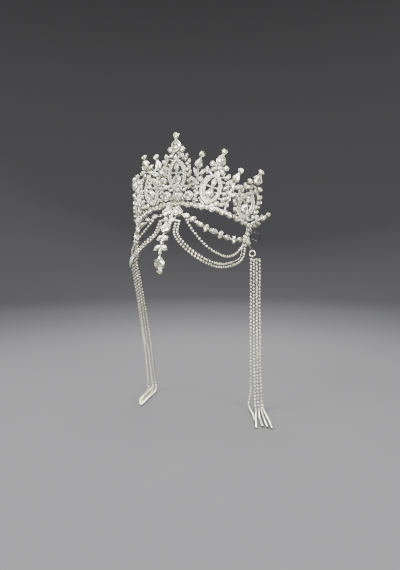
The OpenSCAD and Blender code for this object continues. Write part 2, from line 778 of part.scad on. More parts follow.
module tie_loop(side) {
    color("dimgray") on_side(side) eye_ring([8, -4.4], -26, tie_loop_d, 0.7);
}

module stones_on_brow(place, list, thick) {
    color(CRYSTAL) on_brow(place) stones(list, thick);
}

module stretched_oval() {
    color(CRYSTAL) on_brow(BROW_PLATE) translate([0, oval_y, brow_plate_t / 2 + seat_gap])
        cut_stone(oval_points(false), stone_depth(8.4));
}

module drop_stones(k) {
    color(CRYSTAL) on_drop() stones([drop_gems()[k]], link_t);
}

crown_frame();
main_stone(CENTRE, RIGHT, 0);  // centre_pear
main_stone(CENTRE, RIGHT, 1);  // centre_heart
main_stone(CENTRE, RIGHT, 2);  // centre_kite
panel_stones(CENTRE, RIGHT, tip_round(CENTRE));  // centre_round
main_stone(INNER, RIGHT, 0);  // inner_spike_pear_right
main_stone(INNER, LEFT, 0);  // inner_spike_pear_left
main_stone(LARGE, RIGHT, 0);  // large_panel_pear_right
main_stone(LARGE, LEFT, 0);  // large_panel_pear_left
main_stone(LARGE, RIGHT, 1);  // large_panel_heart_right
main_stone(LARGE, LEFT, 1);  // large_panel_heart_left
main_stone(OUTER, RIGHT, 0);  // outer_spike_pear_right
main_stone(OUTER, LEFT, 0);  // outer_spike_pear_left
main_stone(SIDE, RIGHT, 0);  // side_panel_pear_right
main_stone(SIDE, LEFT, 0);  // side_panel_pear_left
main_stone(SIDE, RIGHT, 1);  // side_panel_heart_right
main_stone(SIDE, LEFT, 1);  // side_panel_heart_left
main_stone(END, RIGHT, 0);  // end_spike_pear_right
main_stone(END, LEFT, 0);  // end_spike_pear_left
finial_rounds(RIGHT);  // finial_rounds_right
finial_rounds(LEFT);  // finial_rounds_left
panel_stones(CENTRE, RIGHT, leaves(CENTRE));  // leaf_stones_centre
leaf_field(RIGHT);  // leaf_stones_right
leaf_field(LEFT);  // leaf_stones_left
panel_stones(CENTRE, RIGHT, rounds(CENTRE));  // round_stones_centre
round_field(RIGHT);  // round_stones_right
round_field(LEFT);  // round_stones_left
base_row(RIGHT);  // base_row_right
base_row(LEFT);  // base_row_left
brow_plate();
stones_on_brow(BROW_PLATE, [brow_pears()[0]], brow_plate_t);  // brow_pear_right
stones_on_brow(BROW_PLATE, [brow_pears()[1]], brow_plate_t);  // brow_pear_left
stretched_oval();  // brow_oval
stones_on_brow(BROW_PLATE, cluster(), brow_plate_t);  // brow_cluster
trefoil_link(TREFOIL_UPPER);  // trefoil_upper
trefoil_link(TREFOIL_LOWER);  // trefoil_lower
union() {  // trefoil_stones
    stones_on_brow(TREFOIL_UPPER, trefoil(TREFOIL_UPPER[3]), link_t);
    stones_on_brow(TREFOIL_LOWER, trefoil(TREFOIL_LOWER[3]), link_t);
}
drop_setting();
drop_stones(0);  // drop_stone
drop_stones(1);  // drop_round
brow_string(RIGHT);  // brow_string_right
brow_string(LEFT);  // brow_string_left
brow_stones(RIGHT);  // brow_stones_right
brow_stones(LEFT);  // brow_stones_left
panel_stones(END, RIGHT, junction_stones());  // junction_stones_right
panel_stones(END, LEFT, junction_stones());  // junction_stones_left
drape(RIGHT, UPPER_DRAPE);  // drape_upper_right
drape(LEFT, UPPER_DRAPE);  // drape_upper_left
middle_drape(RIGHT);  // drape_middle_right
middle_drape(LEFT);  // drape_middle_left
drape(RIGHT, lower_route());  // drape_lower_right
drape(LEFT, lower_route());  // drape_lower_left
tassel_link(RIGHT);  // tassel_link_right
tassel_link(LEFT);  // tassel_link_left
tassel(RIGHT, STRANDS_RIGHT);  // tassel_right
tassel(LEFT, STRANDS_LEFT);  // tassel_left
tie_loop(RIGHT);  // tie_loop_right
tie_loop(LEFT);  // tie_loop_left
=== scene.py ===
import math

import bmesh
import bpy
import numpy as np
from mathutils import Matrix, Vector


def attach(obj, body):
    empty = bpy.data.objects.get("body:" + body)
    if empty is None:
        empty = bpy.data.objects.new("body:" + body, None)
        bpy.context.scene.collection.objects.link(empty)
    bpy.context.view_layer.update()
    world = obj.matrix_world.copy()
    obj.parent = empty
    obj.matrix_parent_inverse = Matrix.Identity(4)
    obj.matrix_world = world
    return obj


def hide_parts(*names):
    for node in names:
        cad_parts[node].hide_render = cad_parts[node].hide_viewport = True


# The crown as packed, and the view of it
# The photographer stood more than half a metre away, to the crown's left, with the lens
# just under the band. Sizes from here on are in millimetres, and meshes are made in metres.
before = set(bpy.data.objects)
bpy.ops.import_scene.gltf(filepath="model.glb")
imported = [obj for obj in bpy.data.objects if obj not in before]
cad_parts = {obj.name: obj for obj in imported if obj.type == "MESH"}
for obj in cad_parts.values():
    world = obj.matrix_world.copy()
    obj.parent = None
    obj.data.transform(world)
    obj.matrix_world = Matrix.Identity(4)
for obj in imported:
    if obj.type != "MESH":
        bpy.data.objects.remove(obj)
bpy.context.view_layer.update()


def add_object(name, data):
    made = bpy.data.objects.new(name, data)
    bpy.context.scene.collection.objects.link(made)
    return made


METRE = 1000.0
view_turn = math.radians(19)
view_dip = math.radians(3.4)
view_distance = 569
view_offset = 3.1
view_height = -54.3
toward_camera = Vector((math.sin(view_turn), -math.cos(view_turn), 0))
sideways = Vector((math.cos(view_turn), math.sin(view_turn), 0))
camera_data = bpy.data.cameras.new("Photo_Camera")
camera_data.lens = 29.68
camera_data.sensor_width = 36
camera_data.shift_y = -0.00175
camera_data.clip_start = 0.01
camera = add_object("Photo_Camera", camera_data)
stand = toward_camera * view_distance - sideways * view_offset + Vector((0, 0, view_height))
camera.location = stand / METRE
looking = -toward_camera * math.cos(view_dip) - Vector((0, 0, math.sin(view_dip)))
camera.rotation_euler = looking.to_track_quat("-Z", "Y").to_euler()
bpy.context.scene.camera = camera

# Openwork plates, links and settings of silver-plated alloy
# Each plate is cast in one piece and tumbled, so its edges are soft and its polish shows
# a fine grain. Painted shade darkens it in the hollows and between the settings, where shade falls.


class Finish:
    """A value in a material. Arithmetic on it adds the Math nodes."""

    def __init__(self, tree, socket=None):
        self.tree = tree
        self.socket = socket

    def node(self, kind, settings=None, inputs=None, output=0):
        made = self.tree.nodes.new(kind)
        for name, value in (settings or {}).items():
            if name == "stops":
                ramp = made.color_ramp
                ramp.elements[0].position, ramp.elements[0].color = value[0]
                ramp.elements[1].position, ramp.elements[1].color = value[-1]
                for place, colour in value[1:-1]:
                    ramp.elements.new(place).color = colour
            else:
                setattr(made, name, value)
        for name, value in (inputs or {}).items():
            if isinstance(value, Finish):
                self.tree.links.new(value.socket, made.inputs[name])
            else:
                made.inputs[name].default_value = value
        return Finish(self.tree, made.outputs[output] if made.outputs else None)

    def math(self, operation, left, right):
        return self.node("ShaderNodeMath", {"operation": operation}, {0: left, 1: right})

    def __add__(self, other):
        return self.math("ADD", self, other)

    __radd__ = __add__

    def __mul__(self, other):
        return self.math("MULTIPLY", self, other)

    __rmul__ = __mul__

    def __sub__(self, other):
        return self.math("SUBTRACT", self, other)

    def __rsub__(self, other):
        return self.math("SUBTRACT", other, self)

    def blend(self, low, high):
        """The colour between low, at 0, and high, at 1."""
        ends = {0: self, 6: low, 7: high}
        return self.node("ShaderNodeMix", {"data_type": "RGBA", "clamp_factor": True}, ends, output=2)


def open_material(name):
    material = bpy.data.materials.new(name)
    material.use_nodes = True
    material.node_tree.nodes.clear()
    start = Finish(material.node_tree)
    return material, start


def close_material(start, shader):
    start.node("ShaderNodeOutputMaterial", None, {"Surface": shader})


def polished_silver(name, bright, grey, grain):
    material, start = open_material(name)
    place = start.node("ShaderNodeTexCoord", output=3)
    cloudy = start.node("ShaderNodeTexNoise", None, {"Vector": place, "Scale": 420.0, "Detail": 3.0})
    fine = start.node("ShaderNodeTexNoise", None, {"Vector": place, "Scale": grain, "Detail": 2.0})
    # painted shade: the colour darkens in hollows by ambient occlusion and where a face's painted shading is
    # set, with a random cloudy mottle on top
    painted_hollow_shade = start.node("ShaderNodeAmbientOcclusion", {"samples": 6}, {"Distance": 0.002}, output=1)
    shaded = start.node("ShaderNodeAttribute", {"attribute_name": "tone"}, output=2)
    painted_shade_and_mottle = (1 - painted_hollow_shade) * 1.25 + (cloudy - 0.5) * 0.3 + shaded - 0.1
    relief = start.node("ShaderNodeBump", None, {"Strength": 0.25, "Distance": 0.00003, "Height": fine})
    shader = start.node(
        "ShaderNodeBsdfPrincipled",
        None,
        {
            "Base Color": painted_shade_and_mottle.blend(bright, grey),
            "Metallic": 1.0,
            "Roughness": fine * 0.14 + painted_shade_and_mottle * 0.2 + 0.12,
            "Normal": relief,
        })
    close_material(start, shader)
    return material


silver_grain = 2600.0
silver = polished_silver("Silver_Plate", (0.98, 0.96, 0.77, 1), (0.15, 0.147, 0.12, 1), silver_grain)
# painted shade: a darker copy of the silver for the pierced plates, so that they read as shaded between the
# stones
painted_shade_silver = polished_silver("Silver_Plate_Painted_Shade", (0.7, 0.69, 0.58, 1), (0.1, 0.098, 0.08, 1), silver_grain)


def sharp_smooth(mesh, degrees):
    mesh.polygons.foreach_set("use_smooth", [True] * len(mesh.polygons))
    mesh.set_sharp_from_angle(angle=math.radians(degrees))


def hang_piece(name, mesh, body, nodes):
    piece = add_object(name, mesh)
    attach(piece, body)
    for node in nodes:
        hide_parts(node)


def welded(mesh):
    """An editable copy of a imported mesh, with the corners that its faces share made one."""
    work = bmesh.new()
    work.from_mesh(mesh)
    bmesh.ops.remove_doubles(work, verts=work.verts, dist=2e-6)
    return work


def tumbled_copy(node, name, body, soft_edge):
    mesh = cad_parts[node].data.copy()
    work = welded(mesh)
    bmesh.ops.dissolve_limit(work, angle_limit=math.radians(1.5), verts=work.verts, edges=work.edges)
    edges = [e for e in work.edges if len(e.link_faces) == 2 and e.calc_face_angle(0) > math.radians(50)]
    bmesh.ops.bevel(
        work, geom=edges, offset=soft_edge / METRE, segments=2, profile=0.5, affect="EDGES",
        clamp_overlap=True)
    work.to_mesh(mesh)
    work.free()
    sharp_smooth(mesh, 40)
    mesh.materials.clear()
    # the pierced plates take the darker silver of painted shade
    mesh.materials.append(painted_shade_silver)
    hang_piece(name, mesh, body, [node])


link_edge = 0.16
tumbled_copy("crown_frame", "Pierced_Frame", "crown", 0.22)
tumbled_copy("brow_plate", "Brow_Plate", "crown", 0.2)
tumbled_copy("trefoil_upper", "Trefoil_Link_Upper", "crown", link_edge)
tumbled_copy("trefoil_lower", "Trefoil_Link_Lower", "crown", link_edge)
tumbled_copy("drop_setting", "Drop_Setting", "drop", link_edge)
tumbled_copy("brow_string_right", "Brow_String_Right", "crown", link_edge)
tumbled_copy("brow_string_left", "Brow_String_Left", "crown", link_edge)

# Cut stones of clear crystal glass with foiled backs
# Each facet's light is painted into its colour, bright or grey, as a painted reflection of the foil behind
# it. Every stone sits where its solid sits, and gets the finer cut of the real one: kites, stars and table.
facet_chance = np.random.RandomState(11)
girdle_share = 0.3
pear_corners = (9, 11)
widest_leaf = 7
oval_width = 8.4
oval_length = oval_width * 1.36
METAL, GLASS = 0, 1


class Casting:
    """Gathers points and faces into one mesh. Each face carries its painted shading: painted facet light on
    glass, painted shade on metal.
    """

    def __init__(self):
        self.points = []
        self.faces = []
        self.painted_shading_per_face = []
        self.finishes = []
        self.count = 0

    def add(self, points, faces, painted_shading_per_face=None, finish=METAL):
        points = np.asarray(points, float)
        self.points.append(points)
        start = self.count
        self.faces.extend([tuple(start + i for i in face) for face in faces])
        self.painted_shading_per_face.extend(painted_shading_per_face if painted_shading_per_face is not None else [0.0] * len(faces))
        self.finishes.extend([finish] * len(faces))
        self.count += len(points)

    def make(self, name, materials, body, slot, nodes=(), smooth_to=None):
        mesh = bpy.data.meshes.new(name)
        mesh.from_pydata((np.concatenate(self.points) / METRE).tolist(), [], self.faces)
        mesh.attributes.new("tone", "FLOAT", "FACE").data.foreach_set("value", self.painted_shading_per_face)
        if smooth_to is not None:
            sharp_smooth(mesh, smooth_to)
            mesh.polygons.foreach_set("use_smooth", [finish == METAL for finish in self.finishes])
        for material in materials:
            mesh.materials.append(material)
        mesh.polygons.foreach_set("material_index", self.finishes)
        hang_piece(name, mesh, body, nodes)


def crystal_glass(name, shadow, light):
    material, start = open_material(name)
    tone = start.node("ShaderNodeAttribute", {"attribute_name": "tone"}, output=2)
    place = start.node("ShaderNodeTexCoord", output=3)
    flow = start.node("ShaderNodeTexNoise", None, {"Vector": place, "Scale": 900.0, "Detail": 1.0})
    shine = tone * 1.15 + flow * 0.3 - 0.2
    shader = start.node(
        "ShaderNodeBsdfPrincipled",
        None,
        {
            "Base Color": shine.blend(shadow, light),
            "Metallic": 0.6,
            "Roughness": flow * 0.05 + 0.04,
            "Coat Weight": 1.0,
            "Coat Roughness": 0.02,
            "Coat IOR": 1.7,
        })
    close_material(start, shader)
    return material


crystal = crystal_glass("Foiled_Crystal", (0.13, 0.13, 0.11, 1), (1.0, 0.985, 0.77, 1))


def unit(v):
    return v / np.linalg.norm(v)


def units(rows):
    return rows / np.linalg.norm(rows, axis=1)[:, None]


def run_along(points):
    """How far along a path each of its points lies."""
    return np.concatenate([[0], np.cumsum(np.linalg.norm(np.diff(points, axis=0), axis=1))])


def points_at(points, run, at):
    return np.stack([np.interp(at, run, column) for column in points.T], 1)


class Stone:
    """A stone's place: middle of the back, tip direction, front direction and outline."""

    def __init__(self, middle, tip, front, kind, length, width, depth):
        self.middle = middle
        self.tip = tip
        self.front = front
        self.across = np.cross(tip, front)
        self.kind = kind
        self.length = length
        self.width = width
        self.depth = depth

    def dense_outline(self):
        turn = np.linspace(0, 2 * math.pi, 240, endpoint=False)
        half_l = self.length / 2
        half_w = self.width / 2
        if self.kind == "pear":
            centre = half_w - half_l
            grip = math.acos(half_w / (half_l - centre))
            sweep = np.linspace(grip, 2 * math.pi - grip, 200)
            bow = np.stack([half_w * np.sin(sweep), centre + half_w * np.cos(sweep)], 1)
            top = np.array([0, half_l])
            lead = np.linspace(0, 1, 20, endpoint=False)[:, None]
            first = top * (1 - lead) + bow[0] * lead
            last = bow[-1] * (1 - lead) + top * lead
            return np.concatenate([first, bow, last[1:]])
        if self.kind == "leaf":
            r = (self.length**2 + self.width**2) / (4 * self.width)
            y = half_l * np.cos(turn)
            bulge = np.sqrt(np.maximum(r * r - y * y, 0)) - (r - half_w)
            return np.stack([bulge * np.where(turn < math.pi, 1, -1), y], 1)
        return np.stack([half_w * np.sin(turn), half_l * np.cos(turn)], 1)

    def outline(self, count):
        dense = self.dense_outline()
        closed = np.concatenate([dense, dense[:1]])
        run = run_along(closed)
        return points_at(closed, run, np.linspace(0, run[-1], count, endpoint=False))

    def place(self, local):
        x, y, z = np.asarray(local, float).T[:, :, None]
        return self.middle + x * self.across + y * self.tip + z * self.front


def circle_through(points):
    rows = np.c_[2 * points, np.ones(len(points))]
    x, y, c = np.linalg.lstsq(rows, (points**2).sum(1), rcond=None)[0]
    return np.array([x, y]), math.sqrt(c + x * x + y * y)


def in_order(part):
    return part.index


def islands(work):
    """The corners of each loose part of a mesh, always in the same order."""
    work.verts.index_update()
    work.faces.index_update()
    left = set(work.verts)
    while left:
        island = {min(left, key=in_order)}
        edge = list(island)
        while edge:
            corner = edge.pop()
            for link in corner.link_edges:
                other = link.other_vert(corner)
                if other not in island:
                    island.add(other)
                    edge.append(other)
        left -= island
        yield island


# Of several corners equally far out, the one highest along this is taken as the tip
upward = np.array([0.3, 0.1, 1.0])


def seat_of(island):
    """The place of the stone whose plain solid has these corners."""
    planes = {}
    for face in sorted({f for v in island for f in v.link_faces}, key=in_order):
        key = next((k for k in planes if (Vector(k) - face.normal).length < 0.02), tuple(face.normal))
        planes.setdefault(key, []).append(face)
    back = max(planes, key=lambda k: sum(f.calc_area() for f in planes[k]))
    corners = sorted({v for f in planes[back] for v in f.verts}, key=in_order)
    rim = np.array([v.co for v in corners]) * METRE
    front = unit(-np.array(back))
    centre = rim.mean(0)
    depth = max(float(np.dot(np.array(v.co) * METRE - centre, front)) for v in island)
    reach = rim - centre
    radii = np.linalg.norm(reach, axis=1)
    farthest = reach[radii > radii.max() - 0.02]
    tip = unit(farthest[np.argmax(farthest @ upward)])
    across = np.cross(tip, front)
    flat = np.stack([reach @ across, reach @ tip], 1)
    if len(rim) in pear_corners:
        top = np.argmax(flat[:, 1])
        middle, r = circle_through(np.delete(flat, top, 0))
        axis = flat[top] - middle
        length = np.linalg.norm(axis) + r
        tip = (axis[0] * across + axis[1] * tip) / np.linalg.norm(axis)
        base = centre + middle[0] * across + middle[1] * np.cross(front, across)
        return Stone(base + tip * (length / 2 - r), tip, front, "pear", length, 2 * r, depth)
    spans = flat.max(0) - flat.min(0)
    if spans[1] < 1.15 * spans[0]:
        return Stone(centre, tip, front, "round", 2 * radii.mean(), 2 * radii.mean(), depth)
    if spans[0] < widest_leaf:
        return Stone(centre, tip, front, "leaf", spans[1], spans[0], depth)
    tilt = np.linalg.svd(flat)[2][0]
    tip = tilt[0] * across + tilt[1] * tip
    return Stone(centre, tip, front, "oval", oval_length, oval_width, depth)


def stones_of(node):
    work = welded(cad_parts[node].data)
    found = [seat_of(island) for island in islands(work)]
    work.free()
    return sorted(found, key=lambda s: tuple(np.round(s.middle, 3)))


def cut_facets(outline, width, depth):
    """Points, faces and painted facet light of a stone: girdle, kites, stars and a table with its inner
    star.
    """
    # painted shade: on wider stones the table's inner facets are painted darker
    painted_table_shade = min(max((width - 4.2) / 4, 0.0), 1.0)
    m = len(outline)
    half = m // 2
    girdle = girdle_share * depth
    even = outline[0::2]
    odd = outline[1::2]
    rise = depth - girdle
    rings = [
        np.c_[outline, np.zeros(m)],
        np.c_[outline, np.full(m, girdle)],
        np.c_[0.81 * odd, np.full(half, girdle + 0.56 * rise)],
        np.c_[0.6 * even, np.full(half, depth)],
        np.c_[0.3 * odd, np.full(half, depth - 0.022 * width)],
        np.array([[0, 0, depth - 0.008 * width]])]
    points = np.concatenate(rings)
    g, s, t, i, c = m, 2 * m, 2 * m + half, 2 * m + 2 * half, 2 * m + 3 * half
    faces = [tuple(range(m - 1, -1, -1))]
    # painted facet light: each face gets a fixed brightness with a little random spread, a painted
    # reflection of the foil's light
    painted_shading_per_face = [0.3]
    spread = facet_chance.uniform(-0.22, 0.22, (8, m))
    for k in range(m):
        n = (k + 1) % m
        faces += [(k, n, g + n, g + k), (g + k, g + n, s + k // 2)]
        painted_shading_per_face += [0.15 + spread[0, k], (0.2 if k % 2 else 0.65) + spread[1, k]]
    for k in range(half):
        n = (k + 1) % half
        faces += [
            (g + 2 * k, s + k, t + k, s + (k - 1) % half),
            (s + k, t + n, t + k),
            (t + k, t + n, i + k),
            (t + n, i + n, i + k),
            (i + k, i + n, c)]
        painted_shading_per_face += [
            0.85 + spread[2, k],
            0.55 + spread[3, k],
            (0.95 if k % 2 else 0.3) - 0.25 * painted_table_shade + spread[4, k],
            (0.2 if k % 2 else 0.9) - 0.35 * painted_table_shade + spread[5, k],
            (0.9 if k % 2 else 0.45) - 0.4 * painted_table_shade + spread[6, k]]
    return points, faces, painted_shading_per_face


def finer(stone):
    return 16 if stone.width > 3.1 or stone.length > 6.5 else 12


def facing_out(faces, flip):
    return [tuple(reversed(face)) for face in faces] if flip else faces


def set_stones(node, name, body):
    seats = stones_of(node)
    glass = Casting()
    for stone in seats:
        points, faces, painted_shading_per_face = cut_facets(stone.outline(finer(stone)), stone.width, stone.depth)
        glass.add(stone.place(points), facing_out(faces, True), painted_shading_per_face)
    glass.make(name, [crystal], body, "crystal", [node])
    return seats


sides = ("right", "left")


def both(part):
    return [f"{part}_{side}" for side in sides]


side_parts = (
    "inner_spike_pear", "large_panel_pear", "large_panel_heart", "outer_spike_pear", "side_panel_pear",
    "side_panel_heart", "end_spike_pear", "finial_rounds")
crown_stones = [
    "centre_pear", "centre_heart", "centre_kite", "centre_round",
    *(node for part in side_parts for node in both(part)),
    "leaf_stones_centre", *both("leaf_stones"), "round_stones_centre", *both("round_stones"),
    *both("base_row"), *both("brow_pear"), "brow_oval", "brow_cluster", "trefoil_stones",
    *both("brow_stones"), *both("junction_stones")]
drop_stones = ["drop_stone", "drop_round"]
fuller_names = {
    "centre_pear": "Centre_Finial_Pear",
    "centre_heart": "Centre_Heart_Stone",
    "centre_kite": "Centre_Kite_Stone",
    "centre_round": "Centre_Tip_Round",
    "brow_oval": "Brow_Oval_Stone",
    "brow_cluster": "Brow_Cluster_Stones",
    "brow_stones_right": "Brow_String_Stones_Right",
    "brow_stones_left": "Brow_String_Stones_Left",
    "drop_stone": "Drop_Pear_Stone",
    "drop_round": "Drop_Tip_Round"}
seats_by_node = {}
for node in crown_stones + drop_stones:
    body = "drop" if node in drop_stones else "crown"
    seats_by_node[node] = set_stones(node, fuller_names.get(node, node.title()), body)

# Collets and claws that hold the stones
# Round every stone stands a thin wall soldered to the plate, and small claws are bent from
# it over the stone's edge. The back of each setting bulges a little, as a pressed cup does.


def offset_outline(outline, gap):
    side = units(units(np.roll(outline, -1, 0) - outline) + units(outline - np.roll(outline, 1, 0)))
    return outline + gap * np.c_[-side[:, 1], side[:, 0]]


def ringed(rows, count, closed=False):
    """Faces between rings of corners, and from the last ring back to the first where it's closed."""
    faces = []
    for row in range(rows if closed else rows - 1):
        a = row * count
        b = (row + 1) % rows * count
        for k in range(count):
            n = (k + 1) % count
            faces.append((a + k, b + k, b + n, a + n))
    return faces


def last_cap(rows, count):
    return tuple(range(rows * count - 1, (rows - 1) * count - 1, -1))


def bar_faces(stations, start=0):
    """The long faces of a four-sided bar and the cap on its far end."""
    last = start + 4 * (stations - 1)
    faces = [
        (a + i, a + (i + 1) % 4, a + 4 + (i + 1) % 4, a + 4 + i)
        for a in range(start, last, 4) for i in range(4)]
    return faces + [tuple(range(last, last + 4))]


collet_corners = 16
claw_steps = 96


def add_collet(metal, stone, foot, wall):
    outline = stone.outline(collet_corners)
    girdle = girdle_share * stone.depth
    rows = [
        (wall, -foot),
        (wall + 0.04, 0.55 * girdle),
        (wall, girdle + 0.12),
        (0.55 * wall, girdle + 0.27),
        (0.03, girdle + 0.2)]
    points = np.concatenate([
        np.c_[offset_outline(outline, gap), np.full(collet_corners, z)] for gap, z in rows])
    # painted shade: the lower wall of each collet, next to the plate, is painted grey
    painted_shading_per_face = [0.75] * 2 * collet_corners + [0.0] * 2 * collet_corners
    metal.add(stone.place(points), ringed(len(rows), collet_corners), painted_shading_per_face)


def add_cup_back(metal, stone, surface):
    outline = stone.outline(collet_corners)
    rows = [(0.94, 0.02), (0.88, 0.3), (0.66, 0.55), (0.3, 0.68)]
    points = np.concatenate([
        np.c_[scale * outline, np.full(collet_corners, -surface - out)] for scale, out in rows])
    faces = ringed(len(rows), collet_corners)
    faces.append(last_cap(len(rows), collet_corners))
    metal.add(stone.place(points), facing_out(faces, True))


def claw_turns(stone):
    """Where the claws stand, as shares of the way round the stone from its tip."""
    if stone.kind == "pear":
        return (0.0, 0.2, 0.37, 0.5, 0.63, 0.8)
    if stone.kind == "oval" or stone.kind == "leaf" and stone.length > 7:
        return (0.0, 0.17, 0.33, 0.5, 0.67, 0.83)
    return (0.0, 0.25, 0.5, 0.75) if stone.kind == "leaf" else (0.125, 0.375, 0.625, 0.875)


def add_claws(metal, stone, foot):
    size = min(1.0, 0.55 + 0.06 * stone.width)
    girdle = girdle_share * stone.depth
    fine = stone.outline(claw_steps)
    outward = offset_outline(fine, 1.0) - fine
    for turn in claw_turns(stone):
        at = int(round(turn * claw_steps)) % claw_steps
        spot = fine[at]
        out = unit(outward[at])
        along = np.array([-out[1], out[0]])
        slope = (stone.depth - girdle) / max(0.4 * np.linalg.norm(spot), 0.5)
        stations = [
            (0.5, -foot, 0.42, 0.2),
            (0.5, girdle, 0.42, 0.2),
            (0.25, girdle + 0.38, 0.4, 0.2),
            (-0.3, girdle + 0.3 + 0.3 * slope, 0.34, 0.17),
            (-0.72, girdle + 0.12 + 0.72 * slope, 0.2, 0.1)]
        points = []
        for reach, height, wide, thick in stations:
            lift = 0 if reach > 0.3 else thick * size
            base = spot + out * reach * size
            for side, up in ((-1, -0.35), (-0.75, 0.8), (0.75, 0.8), (1, -0.35)):
                push = out * up * thick * size * (1 if reach > 0.3 else 0)
                spread = base + along * side * wide * size * 0.5 + push
                points.append((spread[0], spread[1], height + (up * lift)))
        metal.add(stone.place(points), facing_out([(0, 3, 2, 1), *bar_faces(len(stations))], True))


def mount_stones(name, nodes, body, plate, foot=0.15):
    metal = Casting()
    for node in nodes:
        for stone in seats_by_node[node]:
            add_collet(metal, stone, foot, 0.46 if stone.width > 4.8 else 0.32)
            add_claws(metal, stone, foot)
            add_cup_back(metal, stone, plate + foot)
    metal.make(name, [silver], body, "silver", smooth_to=45)


panel_plate = 1.4
link_plate = 1.0
brow_plate = 1.2
mount_stones(
    "Settings_Centre",
    [*crown_stones[:4], "leaf_stones_centre", "round_stones_centre"],
    "crown", panel_plate)
for side in sides:
    mount_stones(
        f"Settings_Panels_{side.title()}",
        [f"{part}_{side}" for part in (*side_parts, "leaf_stones", "round_stones", "junction_stones")],
        "crown", panel_plate)
    mount_stones(f"Settings_Base_Row_{side.title()}", [f"base_row_{side}"], "crown", panel_plate)
    mount_stones(f"Settings_Brow_String_{side.title()}", [f"brow_stones_{side}"], "crown", link_plate)
mount_stones("Settings_Brow_Plate", [*both("brow_pear"), "brow_oval", "brow_cluster"], "crown", brow_plate)
mount_stones("Settings_Trefoils", ["trefoil_stones"], "crown", link_plate)
mount_stones("Settings_Drop", drop_stones, "drop", link_plate)

# Rows of tiny stones on the openwork
# The arches, scroll rings, stems and foot bars are paved with stones of a millimetre or so,
# each in its own cup with four claws, between plain round wires that edge the arches.
half_width = 76
half_depth = 81
side_drop = 48
side_ease = 11
plate_face = 0.7
seat_reach = 9
outer_arch = (34, 21.2)
inner_arch = (26.4, 12.8)
skirt_arch = (30, 20)
arch_skirt = 2.6
wire_lift = 0.05
edge_wire = 0.55
cup_corners = 8


class Panel:
    """The plane of one openwork panel, on the right; the left one is its mirror image."""

    def __init__(self, turn, lean, out, height):
        t = math.radians(turn)
        q = 1 - math.cos(t)
        fall = side_drop * q - side_ease * q * q
        slope = (side_drop - 2 * side_ease * q) * math.sin(t)
        self.foot = np.array([half_width * math.sin(t), -half_depth * math.cos(t), -fall])
        self.along = unit(np.array([half_width * math.cos(t), half_depth * math.sin(t), -slope]))
        rise = unit(np.array([0, 0, 1.0]) - self.along[2] * self.along)
        tilt = math.radians(out)
        self.up = rise * math.cos(tilt) + np.cross(self.along, rise) * math.sin(tilt)
        self.front = np.cross(self.along, self.up)
        self.lean = math.radians(lean)
        self.height = height

    def spot(self, x, y, z=plate_face, leaning=True):
        a = -self.lean if leaning else 0.0
        across = x * math.cos(a) - y * math.sin(a)
        rise = x * math.sin(a) + y * math.cos(a)
        return self.foot + across * self.along + rise * self.up + z * self.front


panels = {
    "centre": Panel(0, 0, 2.8, 68.7),
    "inner": Panel(12.4, 2.9, 0.2, 51.8),
    "large": Panel(22, 6.5, -3.3, 60.2),
    "outer": Panel(36.5, 5.7, -1.6, 48.3),
    "side": Panel(50, 9, -1.1, 60.3),
    "end": Panel(60, 47.3, -4, 37.5)}
heart_height = {"centre": 25.5, "large": 15.5, "side": 14}
mirror = np.array([-1.0, 1.0, 1.0])


def arch_curve(length, width, inset, middle):
    """A pointed arch's curve, moved inwards by the inset, with its points evenly along it."""
    r = (length**2 + width**2) / (4 * width)
    rise = r - width / 2
    half = math.sqrt((r - inset) ** 2 - rise**2)
    turn = np.linspace(0, 2 * math.pi, 400, endpoint=False)
    y = half * np.cos(turn)
    bulge = np.sqrt(np.maximum((r - inset) ** 2 - y * y, 0)) - rise
    return np.stack([bulge * np.where(turn < math.pi, 1, -1), middle + y], 1)


def evenly(points, pitch, closed, lead=0.5):
    points = np.asarray(points, float)
    if closed:
        points = np.concatenate([points, points[:1]])
    run = run_along(points)
    count = max(1, int(round(run[-1] / pitch)))
    return points_at(points, run, (np.arange(count) + (0 if closed else lead)) * run[-1] / count)


all_seats = [stone for seats in seats_by_node.values() for stone in seats]
seat_middles = np.array([stone.middle for stone in all_seats])
seat_rims = [offset_outline(stone.outline(24), 0.42) for stone in all_seats]


def is_free(spot, radius):
    for index in np.nonzero(np.linalg.norm(seat_middles - spot, axis=1) < seat_reach + radius)[0]:
        stone = all_seats[index]
        reach = spot - stone.middle
        if abs(reach @ stone.front) > 2.5:
            continue
        here = np.array([reach @ stone.across, reach @ stone.tip])
        rim = seat_rims[index]
        ahead = units(np.roll(rim, -1, 0) - rim)
        gap = ahead[:, 0] * (here - rim)[:, 1] - ahead[:, 1] * (here - rim)[:, 0]
        if gap.max() < radius:
            return False
    return True


def ring_points(radius, count, z):
    turn = np.arange(count) / count * 2 * math.pi
    return np.stack([radius * np.sin(turn), radius * np.cos(turn), np.full(count, z)], 1)


def crown_facets(girdle, low, high, count):
    """The upper facets of a tiny stone, which its cup hides below the girdle."""
    outline = ring_points(1.0, count, 0)[:, :2]
    depth = (high - low) / (1 - girdle_share)
    points, faces, painted_shading_per_face = cut_facets(outline * girdle, 2 * girdle, depth)
    points[:, 2] += low - girdle_share * depth
    keep = [k for k, face in enumerate(faces) if min(face) >= count]
    return points, [faces[k] for k in keep], [painted_shading_per_face[k] for k in keep]


def claw_ways():
    """The outward and sideways directions of the four claws of a small cup."""
    for turn in (np.arange(4) + 0.5) / 4 * 2 * math.pi:
        yield np.array([math.sin(turn), math.cos(turn), 0]), np.array([math.cos(turn), -math.sin(turn), 0])


